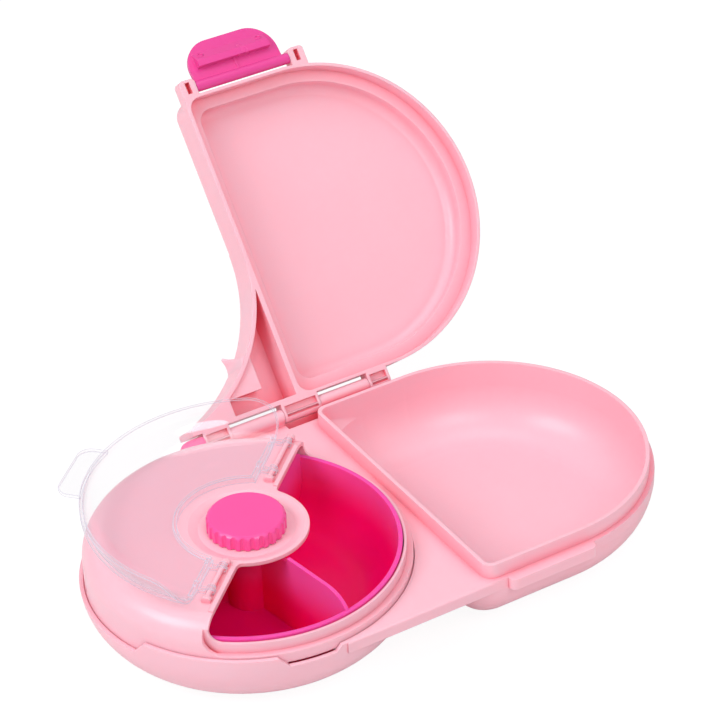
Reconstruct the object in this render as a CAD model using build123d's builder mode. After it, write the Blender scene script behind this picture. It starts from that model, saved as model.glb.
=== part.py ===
"""Bento box: a D-shaped food compartment with a hinged, latched lid, beside a round
compartment whose divided tray is turned by a knob under a cover with a clear flap.

Frame: the spinner axis is Z, the table is Z = 0, +X runs along the box towards the
D compartment and +Y towards the lid hinge. The lid and the flap stand open, as stored.
Heights named _z are above the table, and lid shapes are drawn with the lid closed.
"""
import math
import os

from build123d import *

os.makedirs("parts", exist_ok=True)

# Overall plan
deck_z = 27.0
wall = 2.0
bowl_wall = 1.8
d_gap = 4.0
d_straight = 45.0
d_step = 3.5
edge_w = 4.0

# Base bowls and deck
bowl_round = 24.5
cavity_round = 20.0
well_ledge = 2.1
deck_t = 2.0
skirt_h = 5.2
skirt_t = 2.0
d_bowl_reach = 7.0
d_bowl_side = 3.9
d_bowl_corner = 14.0
d_bowl_round = 23.5
d_cavity_corner = 3.5
d_cavity_low_corner = 22.0
d_cavity_round = 20.0
lip_t = 1.8
lip_h = 6.9
deck_start_x = 5.0
web_w = 3.8
slot_w = 4.1
slot_inset = 0.8
deck_round = 0.8

# Well that the spinner cover drops into, and the rim round it
cover_r = 68.3
cover_gap = 0.4
cover_skirt_h = 4.5
seat_gap = 0.1
low_rim_drop = 4.0
high_rim_rise = 2.0
low_rim_from = 86.0
low_rim_to = 199.0
rim_step_run = 5.5
notch_angle = -98.2
notch_top_w = 29.0
notch_floor_w = 20.0
notch_drop = 2.5
notch_slit = 0.5
snap_angle = 161.0
snap_w = 8.0

# Lid hinge
hinge_out = 5.0
hinge_rise = 3.5
hinge_angle = 130.4
pin_r = 1.25
pin_clearance = 0.05
barrel_r = 3.2
knuckle_r = 3.4
knuckle_gap = 0.15
knuckle_1 = (21.5, 34.4)
knuckle_2 = (60.9, 79.3)
knuckle_3 = (104.8, 115.4)
pin_head_l = 10.3
pin_head_r = 4.3
pin_head_tip_r = 2.3
land_reach = 4.5
slot_depth = 4.2

# Lid
lid_gap = 0.3
lid_top_rise = 17.7
lid_overhang = 0.1
arm_gap = 1.7
lid_corner = 7.5
lid_rim_t = 1.4
lid_side_t = 1.8
lid_channel_h = 7.0
lid_step_w = 5.3
lid_panel_t = 2.0
lid_recess_corner = 6.0
lid_top_fillet = 3.0
lid_panel_fillet = 4.0
arm_tip_w = 2.8
arm_wall = 2.0
arm_drop = 0.9
arm_round = 1.0
pocket_web = 0.6
pocket_left_x = 39.0
pocket_step_x = 56.0
pocket_step_t = 7.8
pocket_roof_t = 1.3
shelf_w = 9.6
shelf_drop = 1.5
knuckle_pocket_h = 1.7
knuckle_barrel_t = 0.6
knuckle_pocket_rim = 1.3

# Latch
latch_out = 3.7
latch_rise = 2.5
latch_barrel_r = 2.5
latch_rest = 102.0
latch_l = 20.5
latch_t = 1.8
latch_start = 8.6
latch_w = 47.6
latch_corner = 13.0
latch_inset = 1.5
latch_pin_r = 1.0
lug_w = 7.8
lug_gap = 0.2
lug_reach = 3.9
lug_h = 6.1
lug_corner = 2.0
lug_root = 5.0
lug_slot_w = 2.2
lug_slot_l = 5.2
lug_slot_h = 4.0
latch_pin_seat = 2.4
hook_l = 7.4
hook_h = 2.9
hook_gap = 0.3
hook_tip = 3.2
hook_inset = 5.5
latch_rib_t = 0.9
latch_rib_h = 0.6
ledge_out = 3.5
ledge_inset = 2.5
ledge_corner = 3.0

# Spinner cover
dome_rise = 17.0
dome_round = 10.0
cover_t = 1.8
hub_r = 26.0
hub_lip = 1.8
dish_slope_w = 4.0
dish_depth = 1.5
hub_t = 2.5
snap_slot_h = 2.0
snap_slot_depth = 2.2
open_offset = 4.7
open_angle = 42.5
open_corner = 2.5
open_end_round = 5.5
ledge_end_round = 8.5
ring_w = 3.9
ring_lip_t = 1.2
ring_top_rise = 13.2
ring_web_rise = 10.5
ring_lip_rise = 7.5
ring_ledge_rise = 2.8
bead_w = 2.0
bead_h = 0.5

# Clear flap
flap_hinge_rise = 1.5
flap_rest_gap = 0.2
flap_t = 1.5
flap_inset = 0.9
flap_rim_rise = 3.1
flap_shoulder_w = 22.0
flap_shoulder_h = 14.0
flap_notch_r = 28.5
flap_edge = 4.9
flap_rib_h = 1.6
flap_rib_t = 1.5
flap_rib_inset = 0.6
flap_rib_back = 13.4
flap_end_round = 14.5
tab_reach = 9.5
tab_half_w = 16.5
tab_rise = 6.5
tab_t = 1.6
tab_round = 6.0
flap_pin_r = 1.0
flap_pin_clearance = 0.1
trough_gap = 0.3
clip_r = 2.0
clip_w = 3.0
clip_mouth = 1.4
clip_root = 3.8
post_w = 2.4
post_half_t = 1.8
post_head = 0.8
post_root = 1.2
clip_to_hub = 11.0
clip_to_rim = 9.9
post_to_hub = 5.5
post_to_rim = 5.4
front_clip_to_hub = 5.5
front_clip_to_rim = 20.9
front_post_to_hub = 1.5
front_post_to_rim = 15.4

# Tray, knob and drive
tray_gap = 0.4
tray_t = 1.8
tray_rise = 8.5
tray_flare = 0.4
tray_round = 22.0
tray_floor_z = 4.4
tray_hub_r = 9.5
tray_hub_rise = 9.4
divider_t = 1.6
divider_rise = 14.5
divider_angle = 39.5
divider_count = 3
divider_slope_w = 14.0
divider_hub_gap = 0.4
pivot_r = 6.0
pivot_h = 7.0
pivot_clearance = 0.1
knob_r = 16.6
knob_rise = 22.3
knob_gap = 0.3
knob_edge = 1.0
flute_count = 26
flute_r = 1.25
stem_r = 5.0
stem_clearance = 0.05
key_r = 3.2
key_flat = 2.4
key_l = 3.0
driver_r = 8.6
driver_t = 2.4
driver_gap = 0.3
driver_hex = 5.0
driver_l = 9.5
hex_clearance = 0.05
screw_r = 1.4
screw_l = 10.0
screw_head_r = 2.7
screw_head_h = 2.0
screw_clearance = 0.05
screw_recess = 4.4
seal_r = 9.0
seal_section = 0.8
seal_squash = 0.25

# Heights and radii worked out from the sizes above
seat_z = deck_z - cover_skirt_h - seat_gap
well_r = cover_r + cover_gap
seat_r = well_r - well_ledge
bowl_r = well_r + bowl_wall
d_half = bowl_r - d_step
d_inner_x = bowl_r + d_gap
d_mid_x = d_inner_x + d_straight
d_outer_x = d_inner_x - lip_t
edge_half = d_half + edge_w
hinge_y = edge_half + hinge_out
lid_x = well_r + arm_gap
lid_half = edge_half + lid_overhang
latch_x0 = lid_x + latch_start
latch_x1 = latch_x0 + latch_w
latch_y = -edge_half - latch_out
pocket_x = lid_x - pocket_web
shelf_y = lid_half - shelf_w
land_x0 = knuckle_1[1] + knuckle_gap
land_x1 = knuckle_3[0]
ring_inner_r = cover_r - ring_w
tray_r = ring_inner_r - tray_gap
divider_flat_r = tray_r - divider_slope_w
flap_r = cover_r - flap_inset
flap_rib_r = flap_r - flap_rib_back
rear_clips = (hub_r + clip_to_hub, flap_r - clip_to_rim)
rear_posts = (hub_r + post_to_hub, flap_r - post_to_rim)
front_clips = (front_clip_to_rim - flap_r, -hub_r - front_clip_to_hub)
front_posts = (front_post_to_rim - flap_r, -hub_r - front_post_to_hub)
lip_z = deck_z + lip_h
rim_z = deck_z + high_rim_rise
hinge_z = deck_z + hinge_rise
latch_z = deck_z + latch_rise
lid_z = deck_z + lid_gap
lid_top_z = deck_z + lid_top_rise
lid_step_z = lid_z + lid_channel_h
dome_z = deck_z + dome_rise
dish_z = dome_z - dish_depth
hub_under_z = dish_z - hub_t
flap_hinge_z = dome_z + flap_hinge_rise
flap_top_z = 2 * flap_hinge_z - dome_z - flap_rest_gap
flap_under_z = flap_top_z - flap_t
flap_rim_z = deck_z + flap_rim_rise
tray_rim_z = deck_z + tray_rise
tray_hub_z = deck_z + tray_hub_rise
divider_z = deck_z + divider_rise
knob_under_z = dish_z + knob_gap
knob_z = deck_z + knob_rise
driver_z = hub_under_z - driver_gap
driver_foot_z = driver_z - driver_t - driver_l
latch_mid_x = (latch_x0 + latch_x1) / 2
skirt_z = deck_z - skirt_h
low_rim_z = deck_z - low_rim_drop
lip_corner = d_cavity_corner + lip_t
cover_foot_z = deck_z - cover_skirt_h
shoulder_z = dome_z - dome_round
ring_ledge_z = deck_z + ring_ledge_rise
ring_lip_z = deck_z + ring_lip_rise
ring_lip_r = ring_inner_r + ring_lip_t
dish_r = hub_r - hub_lip
notch_z = deck_z - notch_drop
arm_z = lid_top_z - arm_drop
hook_z = skirt_z - hook_gap
latch_face_y = latch_y - latch_barrel_r
latch_inner_y = latch_face_y + latch_t
ledge_y = -edge_half - ledge_out
land_y = edge_half + land_reach

hinge_axis = Axis((0, hinge_y, hinge_z), (1, 0, 0))
latch_axis = Axis((0, latch_y, latch_z), (1, 0, 0))
open_dir = Vector(math.cos(math.radians(open_angle)), math.sin(math.radians(open_angle)), 0)
open_side = Vector(open_dir.Y, -open_dir.X, 0)
flap_axis = Axis((0, 0, flap_hinge_z), open_dir)


def radial_plane(angle):
    """Upright half plane through the spinner axis: local x is the radius, local y is Z."""
    a = math.radians(angle)
    return Plane((0, 0, 0), x_dir=(math.cos(a), math.sin(a), 0), z_dir=(math.sin(a), -math.cos(a), 0))


def wall_plane(angle, radius):
    """Plane that faces outward on the round wall: local x follows the wall, local y is Z."""
    a = math.radians(angle)
    return Plane(
        (radius * math.cos(a), radius * math.sin(a), 0),
        x_dir=(-math.sin(a), math.cos(a), 0),
        z_dir=(math.cos(a), math.sin(a), 0),
    )


def hinge_plane(x):
    """Plane across the lid hinge at x: local x is Y, local y is Z."""
    return Plane((x, 0, 0), x_dir=(0, 1, 0), z_dir=(1, 0, 0))


def flap_plane(height):
    """Level plane turned with the cover's opening: local x is along its straight edge."""
    return Plane((0, 0, height), x_dir=open_dir, z_dir=(0, 0, 1))


def flap_cross_plane(along):
    """Plane across the flap hinge: local x runs out over the opening, local y is Z."""
    return Plane(open_dir * along, x_dir=open_side, z_dir=-open_dir)


def d_plan(left, half, corner):
    """Plan of the D: straight left side, half-round right end."""
    with BuildSketch(mode=Mode.PRIVATE) as plan:
        with BuildLine():
            Polyline((d_mid_x, -half), (left, -half), (left, half), (d_mid_x, half))
            ThreePointArc((d_mid_x, half), (d_mid_x + half, 0), (d_mid_x, -half))
        make_face()
        if corner > 0:
            fillet(plan.vertices().group_by(Axis.X)[0], corner)
    return plan.sketch


def half_ring(inner, outer, offset):
    """Plan of the part of a ring that lies over the cover's opening side."""
    with BuildSketch(mode=Mode.PRIVATE) as plan:
        Circle(outer)
        Circle(inner, mode=Mode.SUBTRACT)
        with Locations((0, outer - offset)):
            Rectangle(2 * outer, 2 * outer, mode=Mode.SUBTRACT)
    return plan.sketch


def open_side_block(offset, floor_z, corner):
    """Space over the cover's opening side, above a floor, with its low corner rounded."""
    with BuildPart(mode=Mode.PRIVATE) as block:
        with BuildSketch(flap_cross_plane(-2 * cover_r)):
            with BuildLine():
                Polyline((offset + corner, floor_z), (2 * cover_r, floor_z), (2 * cover_r, 2 * dome_z),
                         (offset, 2 * dome_z), (offset, floor_z + corner))
                RadiusArc((offset, floor_z + corner), (offset + corner, floor_z), -corner)
            make_face()
        extrude(amount=-4 * cover_r)
    return block.part


def sector_plan(start, stop):
    """Plan of a wedge about the spinner axis that reaches past the bowl."""
    count = math.ceil((stop - start) / 45)
    angles = [math.radians(start + (stop - start) * i / count) for i in range(count + 1)]
    with BuildSketch(mode=Mode.PRIVATE) as plan:
        with BuildLine():
            Polyline((0, 0), *[(2 * bowl_r * math.cos(a), 2 * bowl_r * math.sin(a)) for a in angles], close=True)
        make_face()
    return plan.sketch


def rod_x(x0, x1, y, z, radius):
    """Cylinder along X between two stations."""
    with BuildPart(mode=Mode.PRIVATE) as rod:
        with BuildSketch(hinge_plane(x0)):
            with Locations((y, z)):
                Circle(radius)
        extrude(amount=x1 - x0)
    return rod.part


# Outside of the D bowl, rounded to its foot
with BuildPart() as d_bowl:
    with BuildSketch():
        add(d_plan(bowl_r - d_bowl_reach, d_half + d_bowl_side, d_bowl_corner))
    extrude(amount=deck_z)
    fillet(d_bowl.edges().group_by(Axis.Z)[0], d_bowl_round)

# Hollow of the D bowl: a rounded basin whose left corners tighten towards the lip
with BuildPart() as d_cavity:
    with BuildSketch(Plane.XY.offset(wall)):
        add(d_plan(d_inner_x, d_half, d_cavity_low_corner))
    extrude(amount=skirt_z - wall)
    fillet(d_cavity.edges().group_by(Axis.Z)[0], d_cavity_round - 0.5)
    with BuildSketch(Plane.XY.offset(skirt_z)):
        add(d_plan(d_inner_x, d_half, d_cavity_low_corner))
    with BuildSketch(Plane.XY.offset(deck_z)):
        add(d_plan(d_inner_x, d_half, d_cavity_corner))
    loft(ruled=True)
    with BuildSketch(Plane.XY.offset(deck_z)):
        add(d_plan(d_inner_x, d_half, d_cavity_corner))
    extrude(amount=lip_h + 1)

# Deck plate with its skirt, from the spinner well to the round end
with BuildPart() as deck:
    with BuildSketch(Plane.XY.offset(skirt_z)):
        add(d_plan(deck_start_x, edge_half, 0))
    extrude(amount=skirt_h)
    fillet(deck.edges().group_by(Axis.Z)[-1], deck_round)
    with BuildSketch(Plane.XY.offset(skirt_z)):
        add(d_plan(deck_start_x + skirt_t, edge_half - skirt_t, 0))
    extrude(amount=skirt_h - deck_t, mode=Mode.SUBTRACT)

# Base: both bowls, the deck, the lip, the hinge barrels and the catch ledge
with BuildPart() as base_tray:
    with BuildSketch(Plane.XZ):
        with BuildLine():
            Line((0, 0), (bowl_r - bowl_round, 0))
            RadiusArc((bowl_r - bowl_round, 0), (bowl_r, bowl_round), -bowl_round)
            Polyline((bowl_r, bowl_round), (bowl_r, rim_z), (0, rim_z), (0, 0))
        make_face()
    revolve(axis=Axis.Z)
    with BuildSketch(Plane.XY.offset(deck_z)):
        add(sector_plan(notch_angle, low_rim_from))
    extrude(amount=2 * high_rim_rise, mode=Mode.SUBTRACT)
    with BuildSketch(Plane.XY.offset(low_rim_z)):
        add(sector_plan(low_rim_from, low_rim_to))
    extrude(amount=2 * low_rim_drop, mode=Mode.SUBTRACT)
    # Sloping step in the rim, then the finger notch
    with BuildSketch(wall_plane(low_rim_to, bowl_r)):
        with BuildLine():
            Polyline((-1, low_rim_z), (0, low_rim_z), (rim_step_run, rim_z), (rim_step_run, rim_z + 1),
                     (-1, rim_z + 1), close=True)
        make_face()
    extrude(amount=wall * 2, both=True, mode=Mode.SUBTRACT)
    with BuildSketch(wall_plane(notch_angle, bowl_r)):
        with BuildLine():
            Polyline((-notch_floor_w / 2, notch_z), (notch_floor_w / 2, notch_z),
                     (notch_top_w / 2, rim_z), (notch_top_w / 2, rim_z + 1),
                     (-notch_top_w / 2, rim_z + 1), (-notch_top_w / 2, rim_z), close=True)
        make_face()
    extrude(amount=wall * 2, both=True, mode=Mode.SUBTRACT)
    add(deck.part)
    add(d_bowl.part)
    # Lip that enters the lid
    with BuildSketch(Plane.XY.offset(skirt_z)):
        add(d_plan(d_outer_x, d_half + lip_t, lip_corner))
    extrude(amount=skirt_h + lip_h)
    # Hinge land with its slot, barrels and webs
    with BuildSketch(Plane.XY.offset(skirt_z)):
        with Locations(((land_x0 + land_x1) / 2, (d_half + land_y) / 2)):
            Rectangle(land_x1 - land_x0, land_y - d_half)
    extrude(amount=skirt_h)
    with BuildSketch(Plane.XY.offset(deck_z - slot_depth)):
        with Locations(((knuckle_2[0] + knuckle_2[1]) / 2, edge_half + slot_w / 2 - slot_inset)):
            Rectangle(knuckle_2[1] - knuckle_2[0], slot_w)
    extrude(amount=slot_depth, mode=Mode.SUBTRACT)
    for start, stop in ((knuckle_1[1], knuckle_2[0]), (knuckle_2[1], knuckle_3[0])):
        with BuildSketch(hinge_plane(start + knuckle_gap)):
            with Locations((hinge_y, hinge_z)):
                Circle(barrel_r)
            with Locations((hinge_y - barrel_r + web_w / 2 + 0.6, (skirt_z + hinge_z) / 2)):
                Rectangle(web_w, hinge_z - skirt_z)
        extrude(amount=stop - start - 2 * knuckle_gap)
    add(rod_x(knuckle_1[1], knuckle_3[0], hinge_y, hinge_z, pin_r + pin_clearance), mode=Mode.SUBTRACT)
    # Catch ledge for the latch
    with BuildSketch(Plane.XY.offset(skirt_z)) as ledge_plan:
        with Locations((latch_mid_x, (ledge_y - edge_half + wall) / 2)):
            Rectangle(latch_x1 - latch_x0 - 2 * ledge_inset, -ledge_y - edge_half + wall)
        fillet(ledge_plan.vertices().group_by(Axis.Y)[0], ledge_corner)
    extrude(amount=skirt_h)
    # Hollows: the spinner well with the cover's seat, and the D compartment
    with BuildSketch(Plane.XZ):
        with BuildLine():
            Line((0, wall), (seat_r - cavity_round, wall))
            RadiusArc((seat_r - cavity_round, wall), (seat_r, wall + cavity_round), -cavity_round)
            Polyline((seat_r, wall + cavity_round), (seat_r, seat_z), (well_r, seat_z), (well_r, rim_z + 1),
                     (0, rim_z + 1), (0, wall))
        make_face()
    revolve(axis=Axis.Z, mode=Mode.SUBTRACT)
    add(d_cavity.part, mode=Mode.SUBTRACT)
    with BuildSketch(Plane.XY.offset(wall / 2)):
        Circle(pivot_r)
    extrude(amount=pivot_h + wall / 2)
base_tray.part.label = "base_tray"
export_step(base_tray.part, "parts/base_tray.step")

# Lid hinge pin, with its long rounded head at the left end
with BuildPart() as lid_hinge_pin:
    with BuildSketch(Plane.XZ.offset(-hinge_y)):
        with BuildLine():
            head_x = knuckle_1[0] - knuckle_gap
            Polyline((head_x - pin_head_l, hinge_z), (knuckle_3[1] - pin_r, hinge_z),
                     (knuckle_3[1] - pin_r, hinge_z + pin_r), (head_x, hinge_z + pin_r),
                     (head_x, hinge_z + pin_head_r))
            Spline((head_x, hinge_z + pin_head_r), (head_x - pin_head_l, hinge_z + pin_head_tip_r),
                   tangents=((-1, 0), (-0.6, -0.8)))
            Line((head_x - pin_head_l, hinge_z + pin_head_tip_r), (head_x - pin_head_l, hinge_z))
        make_face()
    revolve(axis=hinge_axis)
lid_hinge_pin.part.label = "lid_hinge_pin"
export_step(lid_hinge_pin.part, "parts/lid_hinge_pin.step")

# Arm of the lid: it follows the spinner round to the far end of the hinge
arm_sweep = math.degrees(math.asin((lid_half - arm_tip_w) / lid_x))
arm_tip_x = lid_x * math.cos(math.radians(arm_sweep))
with BuildPart() as lid_arm:
    with BuildSketch(Plane.XY.offset(lid_z)):
        with BuildLine():
            CenterArc((0, 0), lid_x, 0, arm_sweep)
            Polyline((arm_tip_x, lid_half - arm_tip_w), (arm_tip_x, lid_half),
                     (d_inner_x + lid_top_fillet, lid_half), (d_inner_x + lid_top_fillet, 0), (lid_x, 0))
        make_face()
    extrude(amount=arm_z - lid_z)
    top = lid_arm.edges().group_by(Axis.Z)[-1]
    fillet(top.filter_by(GeomType.CIRCLE) + top.filter_by(Axis.X).sort_by(Axis.Y)[-1:], arm_round)

# Hollow under the lid's panel
with BuildPart() as lid_recess:
    with BuildSketch(Plane.XY.offset(lid_step_z - 1)):
        add(d_plan(lid_x + lid_side_t + lid_step_w, lid_half - lid_rim_t - lid_step_w, lid_recess_corner))
    extrude(amount=lid_top_z - lid_panel_t - lid_step_z + 1)
    fillet(lid_recess.edges().group_by(Axis.Z)[-1], lid_panel_fillet)

# Lid, drawn closed and then swung open
with BuildPart() as lid:
    with BuildSketch(Plane.XY.offset(lid_z)):
        add(d_plan(lid_x, lid_half, lid_corner))
    extrude(amount=lid_top_z - lid_z)
    fillet(lid.edges().group_by(Axis.Z)[-1], lid_top_fillet)
    add(lid_arm.part)
    # Lugs for the latch
    for lug_x in (latch_x0 - lug_gap - lug_w / 2, latch_x1 + lug_gap + lug_w / 2):
        with BuildSketch(Plane.XY.offset(lid_z)) as lug_plan:
            with Locations((lug_x, (latch_y - lug_reach - lid_half + lug_root) / 2)):
                Rectangle(lug_w, lug_reach - latch_y - lid_half + lug_root)
            fillet(lug_plan.vertices().group_by(Axis.Y)[0], lug_corner)
        extrude(amount=lug_h)
        with BuildSketch(Plane.XY.offset(lid_z)):
            with Locations((lug_x, latch_y)):
                Rectangle(lug_slot_w, lug_slot_l)
        extrude(amount=lug_slot_h, mode=Mode.SUBTRACT)
    # Knuckles, hollow from below
    for start, stop in (knuckle_1, knuckle_2, knuckle_3):
        with BuildSketch(hinge_plane(start)):
            with Locations((hinge_y, hinge_z)):
                Circle(knuckle_r)
            with Locations(((lid_half + hinge_y) / 2, (lid_z + hinge_z + knuckle_r) / 2)):
                Rectangle(hinge_y - lid_half + lid_rim_t, hinge_z + knuckle_r - lid_z)
        extrude(amount=stop - start)
        with BuildSketch(Plane.XY.offset(lid_z - knuckle_gap)):
            with Locations(((start + stop) / 2, (lid_half + hinge_y) / 2 + knuckle_pocket_rim)):
                Rectangle(stop - start - 2 * knuckle_pocket_rim, hinge_y - lid_half)
        extrude(amount=knuckle_pocket_h + knuckle_gap, mode=Mode.SUBTRACT)
        add(rod_x(start + knuckle_gap, stop - knuckle_gap, hinge_y, hinge_z, pin_r + knuckle_barrel_t))
    add(rod_x(knuckle_1[0], knuckle_3[1] - pin_r + knuckle_gap, hinge_y, hinge_z, pin_r + pin_clearance),
        mode=Mode.SUBTRACT)
    add(rod_x(latch_x0 - lug_gap - latch_pin_seat, latch_x1 + lug_gap + latch_pin_seat, latch_y, latch_z,
              latch_pin_r + pin_clearance), mode=Mode.SUBTRACT)
    # Channel for the base's lip, then the hollow under the panel
    with BuildSketch(Plane.XY.offset(lid_z)):
        add(d_plan(lid_x + lid_side_t, lid_half - lid_rim_t, lid_corner - lid_side_t))
    extrude(amount=lid_channel_h, mode=Mode.SUBTRACT)
    add(lid_recess.part, mode=Mode.SUBTRACT)
    # Pockets in the arm: deep beside the D, shallower along the hinge, and a shelf in their corner
    for near_x, far_x, far_y, roof_z in ((pocket_step_x, pocket_x, lid_half - arm_wall, arm_z - pocket_roof_t),
                                         (pocket_left_x, pocket_step_x, shelf_y, lid_z + shelf_drop)):
        pocket_r = lid_x + arm_wall
        low_angle = math.degrees(math.acos(far_x / pocket_r))
        high_angle = math.degrees(math.acos(near_x / pocket_r))
        with BuildSketch(Plane.XY.offset(lid_z)):
            with BuildLine():
                CenterArc((0, 0), pocket_r, low_angle, high_angle - low_angle)
                Polyline((near_x, pocket_r * math.sin(math.radians(high_angle))), (near_x, far_y),
                         (far_x, far_y), (far_x, pocket_r * math.sin(math.radians(low_angle))))
            make_face()
        extrude(amount=roof_z - lid_z, mode=Mode.SUBTRACT)
    with BuildSketch(Plane.XY.offset(lid_z)):
        with Locations(((pocket_left_x + pocket_step_x) / 2, (shelf_y + lid_half - arm_wall) / 2)):
            Rectangle(pocket_step_x - pocket_left_x, lid_half - arm_wall - shelf_y)
    extrude(amount=lid_top_z - pocket_step_t - lid_z, mode=Mode.SUBTRACT)
lid.part = lid.part.rotate(hinge_axis, -hinge_angle)
lid.part.label = "lid"
export_step(lid.part, "parts/lid.step")

# Latch pin
with BuildPart() as latch_pin:
    add(rod_x(latch_x0 - lug_gap - latch_pin_seat + pin_clearance,
              latch_x1 + lug_gap + latch_pin_seat - pin_clearance, latch_y, latch_z, latch_pin_r))
latch_pin.part = latch_pin.part.rotate(hinge_axis, -hinge_angle)
latch_pin.part.label = "latch_pin"
export_step(latch_pin.part, "parts/latch_pin.step")

# Latch, drawn hooked under the ledge, then folded back and swung with the lid
with BuildPart() as latch:
    with BuildSketch(Plane.XZ.offset(-latch_face_y)) as plate:
        with Locations((latch_mid_x, latch_z - latch_l / 2)):
            Rectangle(latch_x1 - latch_x0 - 2 * latch_inset, latch_l)
        fillet(plate.vertices().group_by(Axis.Y)[0], latch_corner)
    extrude(amount=-latch_t)
    add(rod_x(latch_x0, latch_x1, latch_y, latch_z, latch_barrel_r))
    with BuildSketch(hinge_plane(latch_x0 + hook_inset)):
        with BuildLine():
            Polyline((latch_inner_y - latch_t / 2, hook_z), (latch_inner_y + hook_h, hook_z),
                     (latch_inner_y + hook_h, hook_z - hook_tip), (latch_inner_y, hook_z - hook_l),
                     (latch_inner_y - latch_t / 2, hook_z - hook_l), close=True)
        make_face()
    extrude(amount=latch_x1 - latch_x0 - 2 * hook_inset)
    # Small rib between the hook and the barrel
    with BuildSketch(hinge_plane(latch_mid_x - latch_rib_t / 2)):
        with Locations((latch_inner_y + latch_rib_h - latch_t / 2, (hook_z + latch_z) / 2)):
            Rectangle(latch_t, latch_z - hook_z)
    extrude(amount=latch_rib_t)
    add(rod_x(latch_x0, latch_x1, latch_y, latch_z, latch_pin_r + pin_clearance), mode=Mode.SUBTRACT)
latch.part = latch.part.rotate(latch_axis, -latch_rest).rotate(hinge_axis, -hinge_angle)
latch.part.label = "latch"
export_step(latch.part, "parts/latch.step")

# Hole in the cover over half of the tray
with BuildPart() as cover_hole:
    with BuildSketch(flap_plane(ring_lip_z)) as hole_plan:
        add(half_ring(hub_r, cover_r + cover_gap, open_offset))
        fillet(hole_plan.vertices().filter_by_position(Axis.Y, -open_offset - 0.1, -open_offset + 0.1)
               .sort_by(lambda v: abs(v.X))[:2], open_corner)
    extrude(amount=dome_round + dome_rise)
    add(open_side_block(open_offset, ring_lip_z, open_end_round), mode=Mode.INTERSECT)

# Step round the hole's outer edge, where the closed flap sits
with BuildPart() as flap_seat:
    with BuildSketch(flap_plane(ring_ledge_z)):
        add(half_ring(ring_lip_r, cover_r + cover_gap, open_offset - bead_w))
    extrude(amount=dome_round + dome_rise)
    add(open_side_block(open_offset - bead_w, ring_ledge_z, ledge_end_round), mode=Mode.INTERSECT)

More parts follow.
